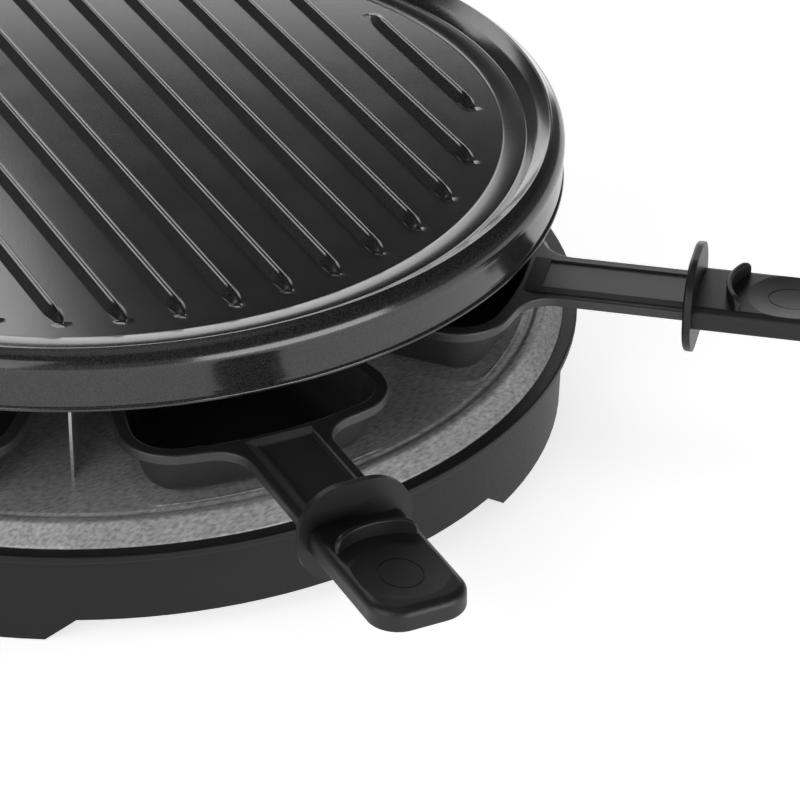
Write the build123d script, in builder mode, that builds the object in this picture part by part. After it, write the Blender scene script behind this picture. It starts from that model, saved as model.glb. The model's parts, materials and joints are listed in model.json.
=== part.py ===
from build123d import *
import os
from math import cos, degrees, radians, sin, sqrt

# Round table-top raclette grill. Millimetres, +Z up, origin on the table under the middle of
# the whole. Every piece is drawn about the grill's own axis and is set grill_y towards the
# back when it is saved. An azimuth is counted from the front, which is -Y, towards +X.

# Layout: seven equal places, of which the one at the back holds the controls
place_count = 7
place_pitch = 360 / place_count
pan_shares = [-2.5, -1.5, -0.5, 0.5, 1.5, 2.5]
bracket_shares = [1, -1]
stud_shares = [0, 2, 3.5, -2]
rib_azimuth = 1.5 * place_pitch
grill_y = 32.4
overrun = 6
seat_gap = 0.3
fit_gap = 0.2
running_gap = 0.05

# Base housing
rim_radius = 171.7
rim_top_height = 36.6
rim_height = 2.8
rim_edge_fillet = 0.8
wall_radius = 167.2
wall_draft = 1.2
wall_thickness = 3
floor_height = 16.5
floor_thickness = 2.5
foot_base_height = 0.5
foot_angle = 27
foot_azimuths = [34.9, 124.9, 235.1, 325.1]
foot_depth = 14
arch_height = 8.5
arch_slant_length = 10.7
ledge_height = 3
ledge_chamfer = 1.5

# Rubber pads under the feet
pad_radius = 5.5
pad_thickness = 3
pad_fillet = 0.4

# Deck sheet
deck_height = 43
deck_thickness = 1
deck_radius = 166.6
bevel_width = 5.9
bevel_height = 6
groove_radius = 156.6
groove_width = 2.4
groove_depth = 0.6
edge_flat_width = 1

# Deck studs and nuts
stud_radius = 2
stud_ring_radius = 120
stud_tail_length = 1.2
nut_width = 7
nut_height = 3.2
nut_gap = 0.03

# Support brackets
blade_inner_reach = 101
blade_width = 33
blade_thickness = 1
blade_shoulder_height = 29
arm_inner_reach = 72
arm_outer_reach = 160
arm_depth = 26.7
arm_end_height = 7.2
arm_lip_height = 6
tongue_inset_length = 7
bracket_flange_width = 9
bracket_pin_radius = 1.4
bracket_pin_inset_width = 6
bracket_pin_rise_height = 25
bracket_pin_length = 5
bracket_pin_tail_length = 0.7

# Heating element
tube_radius = 3.25
tube_drop_height = 19.3
outer_loop_radius = 118
inner_loop_radius = 82
leg_spacing_width = 24
leg_bend_radius = 12
loop_stop_angle = 28
leg_tail_length = 10
pin_radius = 1.4
pin_length = 9

# Grill plate
plate_radius = 165.8
plate_base = 87.7
plate_floor_height = 14.9
plate_thickness = 3
skirt_thickness = 2.4
skirt_height = 12.8
skirt_recess_depth = 0.5
lip_height = 1
recess_height = 1.4
rim_rise_height = 8.1
rim_crest_width = 4.8
rim_crown_width = 4.9
rim_crown_depth = 1.9
rim_slope_width = 3.8
shoulder_shares = (0.27, 0.63)
crown_shares = (0.57, 0.21)
rib_spacing = 18.78
rib_offset = -3
rib_ring_radius = 135.5
rib_width = 6.4
rib_height = 3
rib_fillet = 2.2

# Pan dish and neck
pan_rim_height = 65
pan_thickness = 1.2
pan_inner_reach = 82
pan_front_reach = 160
pan_front_radius = 135
pan_half_width = 48.3
pan_corner_reach = 141
pan_side_slope = 0.2
pan_corner_radius = 19
pan_end_radius = 15
rim_width = 4.6
lip_depth = 3.4
dish_draft = 16
dish_base_fillet = 8
pan_edge_fillet = 0.8
neck_half_width = 15
neck_fillet = 13
neck_crown_half_width = 10.2
neck_crown_height = 1.2
neck_crown_reach = 157
neck_ramp_length = 6
neck_channel_half_width = 9.1
neck_channel_depth = 0.6
neck_shoulder_half_width = 11.9
neck_ridge_fillet = 0.3
crown_hollow_half_width = 8.6
tang_half_width = 10
tang_length = 17
tang_overlap_length = 3
grip_screw_across = 6
grip_screw_radius = 1.6
grip_screw_length = 7.4
grip_head_radius = 2.9
grip_head_height = 1.8

# Pan grip
guard_reach = 213.9
guard_thickness = 3
guard_width = 39.5
guard_height = 34.5
guard_corner_radius = 15
guard_drop_height = 3.8
guard_fillet = 1.2
grip_length = 56
grip_half_width = 16.4
grip_top_height = 67
grip_depth = 8
grip_corner_radius = 10.5
grip_edge_fillet = 3
grip_base_fillet = 1
grip_screw_offset = 10
thumb_offset = 35.5
thumb_rest_radius = 15.5
thumb_depth = 1
thumb_mark_width = 14
thumb_mark_length = 17
thumb_mark_depth = 0.1
thumb_line_width = 0.4
stop_offset = 12.5
stop_radius = 22.5
stop_thickness = 1.8
stop_half_width = 14
stop_height = 5
stop_corner_radius = 3
stop_fillet = 0.6
gusset_length = 9
gusset_height = 8.5
gusset_thickness = 3

# Control housing at the back
box_inner_reach = 130
box_depth = 36
box_inner_half_width = 36
box_outer_half_width = 42
box_height = 44
box_wall_thickness = 2.5
box_corner_radius = 6
box_edge_fillet = 2
shield_thickness = 1
shield_half_width = 30
shield_flange_width = 10
shield_rivet_across = 22
rivet_radius = 1.6
rivet_head_radius = 3
rivet_head_height = 1
boss_radius = 4
boss_height = 15
boss_inset_width = 7
screw_radius = 1.75
screw_head_radius = 3.4
screw_head_height = 2.4

# Thermostat, dial, lamp, fuse and wiring
thermostat_width = 24
thermostat_height = 20
thermostat_depth = 13
dial_rise_height = 21
thermostat_bush_radius = 5
shaft_radius = 3
shaft_inset_length = 8
shaft_flat_depth = 0.6
dial_radius = 15
dial_skirt_radius = 17
dial_skirt_height = 3
dial_height = 14
dial_fillet = 1.5
dial_standoff = 1
dial_bore_depth = 10
pointer_width = 3
pointer_height = 1
lens_offset = 27
lens_radius = 3.9
lens_flange_radius = 5
lens_flange_height = 1.6
lens_length = 14
lamp_radius = 2.6
lamp_length = 10
fuse_radius = 2
fuse_length = 14
fuse_rise_height = 15
terminal_length = 24
terminal_depth = 11
terminal_height = 10
terminal_inset_width = 13
terminal_hole_radius = 2.2
terminal_hole_depth = 5
lamp_tail_length = 1.5
terminal_poles = 3
bushing_offset = -28
bushing_rise_height = 11
bushing_radius = 6
bushing_flange_radius = 7.5
bushing_flange_height = 2
bushing_length = 12
bushing_bore_radius = 3.6

# Derived sizes
rim_base = rim_top_height - rim_height
deck_seat = deck_height - bevel_height - deck_thickness
deck_inner_edge = deck_radius - bevel_width
blade_outer_reach = blade_inner_reach + blade_width
bracket_pin_reach = blade_outer_reach - bracket_pin_inset_width
bracket_pin_height = deck_height + bracket_pin_rise_height
box_outer_reach = box_inner_reach + box_depth
leg_end_reach = box_inner_reach + leg_tail_length
terminal_reach = box_inner_reach + terminal_inset_width
ledge_outer = deck_radius + seat_gap
wall_inner = wall_radius - wall_draft - wall_thickness
floor_base = floor_height - floor_thickness
plate_floor = plate_base + plate_floor_height
arm_top = plate_floor - plate_thickness - seat_gap
arm_outer_base = arm_top - arm_end_height
tube_height = arm_top - tube_drop_height
pan_front_inner = pan_front_reach - rim_width
pan_base = deck_height + seat_gap
neck_end = guard_reach - fit_gap
grip_start = guard_reach + guard_thickness
guard_centre = grip_top_height - guard_drop_height
grip_screw_reach = guard_reach + grip_screw_offset
thumb_reach = guard_reach + thumb_offset
thumb_round_radius = (thumb_rest_radius ** 2 + thumb_depth ** 2) / (2 * thumb_depth)
stop_reach = guard_reach + stop_offset
grip_base = grip_top_height - grip_depth
shaft_end = box_outer_reach + dial_standoff + dial_bore_depth
box_top = deck_height + box_height
thermostat_centre = deck_height + dial_rise_height
bushing_height = deck_height + bushing_rise_height
fuse_height = deck_height + fuse_rise_height
boss_across = box_inner_half_width - boss_inset_width
boss_reach = (box_inner_reach + box_outer_reach) / 2
boss_web_length = (box_depth - box_wall_thickness) / 2
shield_face = box_inner_reach - shield_thickness - seat_gap
slant_angle = degrees(arch_slant_length / wall_radius)
pan_azimuths = [share * place_pitch for share in pan_shares]
bracket_azimuths = [share * place_pitch for share in bracket_shares]
stud_azimuths = [share * place_pitch for share in stud_shares]


def turn_of(azimuth):
    """Rotation about Z that brings a piece's own +X to its azimuth."""
    return azimuth - 90


def save(piece, name):
    """Set one finished piece in the shared frame, label it and write its own file."""
    placed = piece.moved(Location((0, grill_y, 0)))
    placed.label = name
    export_step(placed, f"parts/{name}.step")


def wall_at(height):
    """Outer radius of the base wall at a height above the table."""
    return wall_radius - wall_draft * (rim_base - height) / rim_base


os.makedirs("parts", exist_ok=True)

# Base housing: a moulded ring with a floor, a rim over the wall and four wide feet
with BuildPart() as base_housing:
    with BuildSketch(Plane.XZ):
        with BuildLine():
            Polyline(
                (0, floor_base),
                (wall_inner, floor_base),
                (wall_at(foot_base_height) - wall_thickness, foot_base_height),
                (wall_at(foot_base_height), foot_base_height),
                (wall_radius, rim_base),
                (rim_radius, rim_base),
                (rim_radius, rim_top_height),
                (ledge_outer, rim_top_height),
                (ledge_outer, deck_seat),
                (wall_inner - ledge_chamfer, deck_seat),
                (wall_inner - ledge_chamfer, deck_seat - ledge_height),
                (wall_inner, deck_seat - ledge_height - ledge_chamfer),
                (wall_inner, floor_height),
                (0, floor_height),
                close=True,
            )
        make_face()
    revolve(axis=Axis.Z)
    rim_edges = base_housing.edges().filter_by(GeomType.CIRCLE).group_by(SortBy.RADIUS)[-1]
    fillet(rim_edges, rim_edge_fillet)
    for azimuth in foot_azimuths:
        with BuildSketch(Plane.XZ.rotated((0, 0, turn_of(azimuth - foot_angle / 2)))):
            with BuildLine():
                Polyline(
                    (wall_inner - foot_depth, foot_base_height),
                    (wall_at(foot_base_height) - wall_thickness / 2, foot_base_height),
                    (wall_at(floor_base) - wall_thickness / 2, floor_base + floor_thickness / 2),
                    (wall_inner - foot_depth, floor_base + floor_thickness / 2),
                    close=True,
                )
            make_face()
        revolve(axis=Axis.Z, revolution_arc=foot_angle)
    for azimuth, following in zip(foot_azimuths, foot_azimuths[1:] + foot_azimuths[:1]):
        start = azimuth + foot_angle / 2
        gap_angle = (following - azimuth) % 360 - foot_angle
        with BuildSketch(Plane.XZ.rotated((0, 0, turn_of(start + slant_angle)))):
            with BuildLine():
                Polyline(
                    (wall_inner - foot_depth - overrun, -overrun),
                    (rim_radius + overrun, -overrun),
                    (rim_radius + overrun, arch_height),
                    (wall_inner - foot_depth - overrun, arch_height),
                    close=True,
                )
            make_face()
        revolve(axis=Axis.Z, revolution_arc=gap_angle - 2 * slant_angle, mode=Mode.SUBTRACT)
        for end, side in ((start, 1), (start + gap_angle, -1)):
            out = Vector(sin(radians(end)), -cos(radians(end)), 0)
            along = Vector(cos(radians(end)), sin(radians(end)), 0)
            end_plane = Plane(origin=out * (wall_inner - foot_depth - overrun), x_dir=along, z_dir=out)
            with BuildSketch(end_plane):
                with BuildLine():
                    Polyline(
                        (-side * foot_base_height, -overrun),
                        (-side * foot_base_height, 0),
                        (0, foot_base_height),
                        (side * arch_slant_length, arch_height),
                        (side * (arch_slant_length + overrun / 2), arch_height),
                        (side * (arch_slant_length + overrun / 2), -overrun),
                        close=True,
                    )
                make_face()
            extrude(amount=foot_depth + wall_thickness + 3 * overrun, mode=Mode.SUBTRACT)
    with BuildSketch(Plane.XY.offset(foot_base_height)):
        for azimuth in foot_azimuths:
            with PolarLocations(wall_inner - foot_depth / 2, 1, turn_of(azimuth)):
                Circle(pad_radius + fit_gap)
    extrude(amount=pad_thickness - foot_base_height, mode=Mode.SUBTRACT)
    with BuildSketch(Plane.XY.offset(floor_base)):
        for azimuth in stud_azimuths:
            with PolarLocations(stud_ring_radius, 1, turn_of(azimuth)):
                Circle(stud_radius + fit_gap)
    extrude(amount=floor_thickness, mode=Mode.SUBTRACT)
save(base_housing.part, "base_housing")

# Rubber pads, one set into each foot
with BuildPart() as rubber_feet:
    with BuildSketch(Plane.XY):
        for azimuth in foot_azimuths:
            with PolarLocations(wall_inner - foot_depth / 2, 1, turn_of(azimuth)):
                Circle(pad_radius)
    extrude(amount=pad_thickness)
    fillet(rubber_feet.edges().group_by(Axis.Z)[0], pad_fillet)
save(rubber_feet.part, "rubber_feet")

# Deck sheet: a flat tray with a ring groove and a bevelled edge that sits in the rim
with BuildPart() as deck_plate:
    with BuildSketch(Plane.XZ):
        with BuildLine():
            Polyline(
                (0, deck_height - deck_thickness),
                (deck_inner_edge - deck_thickness / 2, deck_height - deck_thickness),
                (deck_radius - edge_flat_width, deck_seat),
                (deck_radius, deck_seat),
                (deck_radius, deck_seat + deck_thickness),
                (deck_inner_edge, deck_height),
                (groove_radius + groove_width / 2, deck_height),
                (groove_radius + groove_width / 4, deck_height - groove_depth),
                (groove_radius - groove_width / 4, deck_height - groove_depth),
                (groove_radius - groove_width / 2, deck_height),
                (0, deck_height),
                close=True,
            )
        make_face()
    revolve(axis=Axis.Z)
    slot_length = blade_outer_reach - blade_inner_reach - 2 * tongue_inset_length + 2 * fit_gap
    with BuildSketch(Plane.XY.offset(deck_height - deck_thickness)):
        for azimuth in bracket_azimuths:
            with PolarLocations((blade_inner_reach + blade_outer_reach) / 2, 1, turn_of(azimuth)):
                Rectangle(slot_length, blade_thickness + 2 * fit_gap)
        for side in (-1, 1):
            with Locations((side * boss_across, boss_reach)):
                Circle(screw_radius + fit_gap)
            with Locations((side * shield_rivet_across, shield_face - shield_flange_width / 2)):
                Circle(rivet_radius + nut_gap)
    extrude(amount=deck_thickness, mode=Mode.SUBTRACT)
save(deck_plate.part, "deck_plate")

# Studs welded under the deck, and the nuts that pull the deck onto the housing
with BuildPart() as deck_studs:
    with BuildSketch(Plane.XY.offset(floor_base - nut_height - stud_tail_length)):
        for azimuth in stud_azimuths:
            with PolarLocations(stud_ring_radius, 1, turn_of(azimuth)):
                Circle(stud_radius)
    extrude(amount=deck_height - deck_thickness - floor_base + nut_height + stud_tail_length)
save(deck_studs.part, "deck_studs")

with BuildPart() as stud_nuts:
    with BuildSketch(Plane.XY.offset(floor_base - nut_height)):
        for azimuth in stud_azimuths:
            with PolarLocations(stud_ring_radius, 1, turn_of(azimuth)):
                RegularPolygon(nut_width / 2, 6, major_radius=False)
                Circle(stud_radius + nut_gap, mode=Mode.SUBTRACT)
    extrude(amount=nut_height)
save(stud_nuts.part, "stud_nuts")

# Support bracket: an upright steel blade whose arm holds the heater and carries the plate
with BuildPart() as bracket:
    with BuildSketch(Plane.XZ):
        with BuildLine():
            Polyline(
                (blade_inner_reach, deck_height),
                (blade_inner_reach, deck_height + blade_shoulder_height),
                (arm_inner_reach, arm_top - arm_depth),
                (arm_inner_reach, arm_top),
                (arm_outer_reach, arm_top),
                (arm_outer_reach, arm_outer_base),
                (blade_outer_reach, arm_outer_base - arm_lip_height),
                (blade_outer_reach, deck_height),
                (blade_outer_reach - tongue_inset_length, deck_height),
                (blade_outer_reach - tongue_inset_length, deck_height - deck_thickness - blade_thickness),
                (blade_inner_reach + tongue_inset_length, deck_height - deck_thickness - blade_thickness),
                (blade_inner_reach + tongue_inset_length, deck_height),
                close=True,
            )
        make_face()
        for loop in (outer_loop_radius, inner_loop_radius):
            with Locations((loop, tube_height)):
                Circle(tube_radius + fit_gap, mode=Mode.SUBTRACT)
            with Locations((loop, (tube_height + arm_top + overrun) / 2)):
                Rectangle(2 * (tube_radius + fit_gap), arm_top + overrun - tube_height, mode=Mode.SUBTRACT)
    extrude(amount=blade_thickness / 2, both=True)
    with BuildSketch(Plane.XY.offset(deck_height - deck_thickness - blade_thickness)):
        with Locations(((blade_inner_reach + blade_outer_reach) / 2, bracket_flange_width / 2)):
            Rectangle(blade_outer_reach - blade_inner_reach - 2 * tongue_inset_length, bracket_flange_width)
    extrude(amount=blade_thickness)
    with BuildSketch(Plane.XZ):
        with Locations((bracket_pin_reach, bracket_pin_height)):
            Circle(bracket_pin_radius + nut_gap)
    extrude(amount=blade_thickness, both=True, mode=Mode.SUBTRACT)

for name, azimuth in zip(("bracket_right", "bracket_left"), bracket_azimuths):
    with BuildPart() as placed_bracket:
        with Locations(Location((0, 0, 0), (0, 0, turn_of(azimuth)))):
            add(bracket.part)
    save(placed_bracket.part, name)

# Pins through the brackets that keep the pans off the blades
pin_plane_offset = -(blade_thickness / 2 + bracket_pin_tail_length)
with BuildPart() as bracket_pins:
    for azimuth in bracket_azimuths:
        with BuildSketch(Plane.XZ.rotated((0, 0, turn_of(azimuth))).offset(pin_plane_offset)):
            with Locations((bracket_pin_reach, bracket_pin_height)):
                Circle(bracket_pin_radius)
        extrude(amount=bracket_pin_length)
save(bracket_pins.part, "bracket_pins")

# Heating element: one tube bent into an outer and an inner loop with two legs at the back
half_leg = leg_spacing_width / 2
in_bend_y = sqrt((outer_loop_radius + leg_bend_radius) ** 2 - (half_leg + leg_bend_radius) ** 2)
loop_middle_radius = (outer_loop_radius + inner_loop_radius) / 2
loop_turn_radius = (outer_loop_radius - inner_loop_radius) / 2
in_share = outer_loop_radius / (outer_loop_radius + leg_bend_radius)
in_tangent = (-(half_leg + leg_bend_radius) * in_share, in_bend_y * in_share)
out_bend_y = sqrt((inner_loop_radius + leg_bend_radius) ** 2 - (half_leg - leg_bend_radius) ** 2)
out_share = inner_loop_radius / (inner_loop_radius + leg_bend_radius)
out_tangent = ((half_leg - leg_bend_radius) * out_share, out_bend_y * out_share)
stop = radians(loop_stop_angle)
outer_loop_stop = (outer_loop_radius * sin(stop), outer_loop_radius * cos(stop))
inner_loop_stop = (inner_loop_radius * sin(stop), inner_loop_radius * cos(stop))
loop_turn_point = (
    loop_middle_radius * sin(stop) - loop_turn_radius * cos(stop),
    loop_middle_radius * cos(stop) + loop_turn_radius * sin(stop),
)
with BuildPart() as heating_element:
    with BuildLine(Plane.XY.offset(tube_height)) as tube_path:
        Line((-half_leg, leg_end_reach), (-half_leg, in_bend_y))
        RadiusArc((-half_leg, in_bend_y), in_tangent, leg_bend_radius)
        ThreePointArc(in_tangent, (0, -outer_loop_radius), outer_loop_stop)
        ThreePointArc(outer_loop_stop, loop_turn_point, inner_loop_stop)
        ThreePointArc(inner_loop_stop, (0, -inner_loop_radius), out_tangent)
        RadiusArc(out_tangent, (half_leg, out_bend_y), -leg_bend_radius)
        Line((half_leg, out_bend_y), (half_leg, leg_end_reach))
    with BuildSketch(Plane(origin=(-half_leg, leg_end_reach, tube_height), z_dir=(0, -1, 0))):
        Circle(tube_radius)
    sweep(path=tube_path.wires()[0])
save(heating_element.part, "heating_element")

with BuildPart() as heater_pins:
    with BuildSketch(Plane.XZ.offset(-leg_end_reach)):
        with Locations((-half_leg, tube_height), (half_leg, tube_height)):
            Circle(pin_radius)
    extrude(amount=-pin_length)
save(heater_pins.part, "heater_pins")

# Ribs of the grill plate: as many as fit side by side within their ring
rib_reach = rib_ring_radius - rib_width / 2
rib_steps = int(2 * rib_ring_radius / rib_spacing)
rib_places = [rib_offset + step * rib_spacing for step in range(-rib_steps, rib_steps + 1)]
with BuildPart() as ribs:
    with BuildSketch(Plane.XY.offset(plate_floor - plate_thickness / 2)):
        for across in [place for place in rib_places if abs(place) < rib_reach]:
            rib_length = 2 * sqrt(rib_ring_radius ** 2 - across ** 2)
            with Locations((0, across)):
                SlotOverall(rib_length, rib_width)
    extrude(amount=rib_height + plate_thickness / 2)
    fillet(ribs.edges().group_by(Axis.Z)[-1], rib_fillet)

# Grill plate: pressed skirt, rolled rim and a ribbed floor
with BuildPart() as grill_plate:
    skirt_radius = plate_radius - skirt_recess_depth
    skirt_inner_radius = plate_radius - skirt_thickness
    plate_underside = plate_floor - plate_thickness
    crease_height = plate_base + skirt_height
    crest_radius = plate_radius - rim_crest_width
    crest_height = crease_height + rim_rise_height
    rim_line_radius = crest_radius - rim_crown_width
    rim_line_height = crest_height - rim_crown_depth
    cove_radius = rim_line_radius - rim_slope_width
    shoulder_radius = plate_radius - shoulder_shares[0] * rim_crest_width
    shoulder_height = crease_height + shoulder_shares[1] * rim_rise_height
    crown_radius = crest_radius - crown_shares[0] * rim_crown_width
    crown_height = crest_height - crown_shares[1] * rim_crown_depth
    with BuildSketch(Plane.XZ):
        with BuildLine():
            Line((0, plate_underside), (cove_radius, plate_underside))
            Line((cove_radius, plate_underside), (crest_radius, crest_height - plate_thickness))
            Line((crest_radius, crest_height - plate_thickness), (skirt_inner_radius, crease_height))
            Line((skirt_inner_radius, crease_height), (skirt_inner_radius, plate_base))
            Line((skirt_inner_radius, plate_base), (plate_radius, plate_base))
            Line((plate_radius, plate_base), (plate_radius, plate_base + lip_height))
            Line(
                (plate_radius, plate_base + lip_height),
                (skirt_radius - skirt_recess_depth, plate_base + lip_height),
            )
            Line(
                (skirt_radius - skirt_recess_depth, plate_base + lip_height),
                (skirt_radius - skirt_recess_depth, plate_base + lip_height + recess_height),
            )
            Line(
                (skirt_radius - skirt_recess_depth, plate_base + lip_height + recess_height),
                (skirt_radius, plate_base + lip_height + recess_height),
            )
            Line(
                (skirt_radius, plate_base + lip_height + recess_height),
                (plate_radius, crease_height),
            )
            ThreePointArc(
                (plate_radius, crease_height),
                (shoulder_radius, shoulder_height),
                (crest_radius, crest_height),
            )
            ThreePointArc(
                (crest_radius, crest_height),
                (crown_radius, crown_height),
                (rim_line_radius, rim_line_height),
            )
            Line((rim_line_radius, rim_line_height), (cove_radius, plate_floor))
            Line((cove_radius, plate_floor), (0, plate_floor))
            Line((0, plate_floor), (0, plate_underside))
        make_face()
    revolve(axis=Axis.Z)
    with Locations(Location((0, 0, 0), (0, 0, turn_of(rib_azimuth)))):
        add(ribs.part)
save(grill_plate.part, "grill_plate")

# Pan: pressed dish whose rim runs out into a crowned neck and a flat tang
half_at_end = pan_half_width - (pan_corner_reach - pan_inner_reach) * pan_side_slope
corner_y = pan_half_width + pan_corner_radius / 2 * pan_side_slope
front_sagitta = pan_front_radius - sqrt(pan_front_radius ** 2 - corner_y ** 2)


def rim_outline(inset):
    """Closed plan outline of the pan's rim, moved inwards by inset."""
    with BuildSketch() as outline:
        with BuildLine():
            Polyline(
                (pan_front_reach - front_sagitta, -corner_y),
                (pan_inner_reach, -half_at_end),
                (pan_inner_reach, half_at_end),
                (pan_front_reach - front_sagitta, corner_y),
            )
            ThreePointArc(
                (pan_front_reach - front_sagitta, corner_y),
                (pan_front_reach, 0),
                (pan_front_reach - front_sagitta, -corner_y),
            )
        make_face()
        fillet(outline.vertices().group_by(Axis.X)[-1], pan_corner_radius)
        fillet(outline.vertices().group_by(Axis.X)[0], pan_end_radius)
        if inset:
            offset(amount=-inset, mode=Mode.REPLACE)
    return outline.sketch


def pan_outline(inset):
    """Plan outline of the rim and the neck together, moved inwards by inset."""
    with BuildSketch() as outline:
        add(rim_outline(0))
        with Locations(((pan_front_inner + neck_end) / 2, 0)):
            Rectangle(neck_end - pan_front_inner, 2 * neck_half_width)
        roots = outline.vertices().filter_by(lambda v: abs(abs(v.Y) - neck_half_width) < fit_gap)
        fillet(roots.group_by(Axis.X)[0], neck_fillet)
        if inset:
            offset(amount=-inset, mode=Mode.REPLACE)
    return outline.sketch


def dish_block(inset, base, base_fillet):
    """Drafted block below the rim outline with its bottom edge rounded."""
    with BuildPart(mode=Mode.PRIVATE) as block:
        with BuildSketch(Plane.XY.offset(pan_rim_height)):
            add(rim_outline(inset))
        extrude(amount=base - pan_rim_height, taper=dish_draft)
        fillet(block.faces().sort_by(Axis.Z)[0].edges(), base_fillet)
    return block.part


full_face = pan_outline(0)
inner_face = pan_outline(pan_thickness)
dish_outside = dish_block(rim_width - pan_thickness, pan_base, dish_base_fillet + pan_thickness)
dish_inside = dish_block(rim_width, pan_base + pan_thickness, dish_base_fillet)

with BuildPart() as pan:
    add(dish_outside)
    with BuildSketch(Plane.XY.offset(pan_rim_height - pan_thickness)):
        add(full_face)
    extrude(amount=pan_thickness)
    with BuildSketch(Plane.XY.offset(pan_rim_height - lip_depth)):
        add(full_face)
        add(inner_face, mode=Mode.SUBTRACT)
        with Locations((neck_end, 0)):
            Rectangle(2 * pan_thickness + fit_gap, 2 * (neck_half_width - pan_thickness), mode=Mode.SUBTRACT)
    extrude(amount=lip_depth)
    add(dish_inside, mode=Mode.SUBTRACT)
    rim_edges = pan.faces().sort_by(Axis.Z)[-1].edges()
    fillet(rim_edges.filter_by(lambda edge: edge.center().X < neck_end - fit_gap), pan_edge_fillet)
    with BuildSketch(Plane.YZ.offset(neck_crown_reach)) as crown_profile:
        with BuildLine():
            Polyline(
                (-neck_shoulder_half_width, pan_rim_height),
                (-neck_crown_half_width, pan_rim_height + neck_crown_height),
                (neck_crown_half_width, pan_rim_height + neck_crown_height),
                (neck_shoulder_half_width, pan_rim_height),
                close=True,
            )
        make_face()
        fillet(crown_profile.vertices().group_by(Axis.Y)[-1], neck_ridge_fillet)
    extrude(amount=neck_end - neck_crown_reach)
    with BuildSketch(Plane.XZ):
        with BuildLine():
            Polyline(
                (neck_crown_reach, pan_rim_height),
                (neck_crown_reach, pan_rim_height + neck_crown_height + overrun),
                (neck_crown_reach + neck_ramp_length, pan_rim_height + neck_crown_height + overrun),
                (neck_crown_reach + neck_ramp_length, pan_rim_height + neck_crown_height),
                close=True,
            )
        make_face()
    extrude(amount=neck_shoulder_half_width + overrun, both=True, mode=Mode.SUBTRACT)
    with BuildSketch(Plane.YZ.offset(neck_crown_reach + neck_ramp_length)):
        with Locations((0, pan_rim_height - pan_thickness)):
            Rectangle(
                2 * crown_hollow_half_width,
                neck_crown_height - neck_channel_depth,
                align=(Align.CENTER, Align.MIN),
            )
        with Locations((0, pan_rim_height + neck_crown_height)):
            Rectangle(2 * neck_channel_half_width, neck_channel_depth, align=(Align.CENTER, Align.MAX))
    extrude(amount=neck_end - neck_crown_reach - neck_ramp_length, mode=Mode.SUBTRACT)
    with BuildSketch(Plane.XY.offset(pan_rim_height - pan_thickness)):
        with Locations((neck_end - tang_overlap_length, 0)):
            Rectangle(
                tang_length + tang_overlap_length,
                2 * tang_half_width,
                align=(Align.MIN, Align.CENTER),
            )
        with Locations((grip_screw_reach, -grip_screw_across), (grip_screw_reach, grip_screw_across)):
            Circle(grip_screw_radius + fit_gap, mode=Mode.SUBTRACT)
    extrude(amount=pan_thickness)

# Thumb stop: a low curved wall across the grip with rounded ends
with BuildPart() as thumb_stop:
    with BuildSketch(Plane.XY.offset(grip_top_height - stop_fillet)):
        with Locations((stop_reach + stop_radius, 0)):
            Circle(stop_radius)
            Circle(stop_radius - stop_thickness, mode=Mode.SUBTRACT)
        with Locations((stop_reach, 0)):
            Rectangle(stop_radius, 2 * stop_half_width, align=(Align.MIN, Align.CENTER), mode=Mode.INTERSECT)
    extrude(amount=stop_height + stop_fillet)
    with BuildSketch(Plane.YZ.offset(guard_reach)) as stop_profile:
        with Locations((0, grip_top_height - stop_fillet)):
            Rectangle(2 * stop_half_width, stop_height + stop_fillet, align=(Align.CENTER, Align.MIN))
        fillet(stop_profile.vertices().group_by(Axis.Y)[-1], stop_corner_radius)
    extrude(amount=grip_length, mode=Mode.INTERSECT)
    stop_arcs = thumb_stop.faces().sort_by(Axis.Z)[-1].edges().sort_by(SortBy.LENGTH)[-2:]
    fillet(stop_arcs, stop_fillet)

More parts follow.
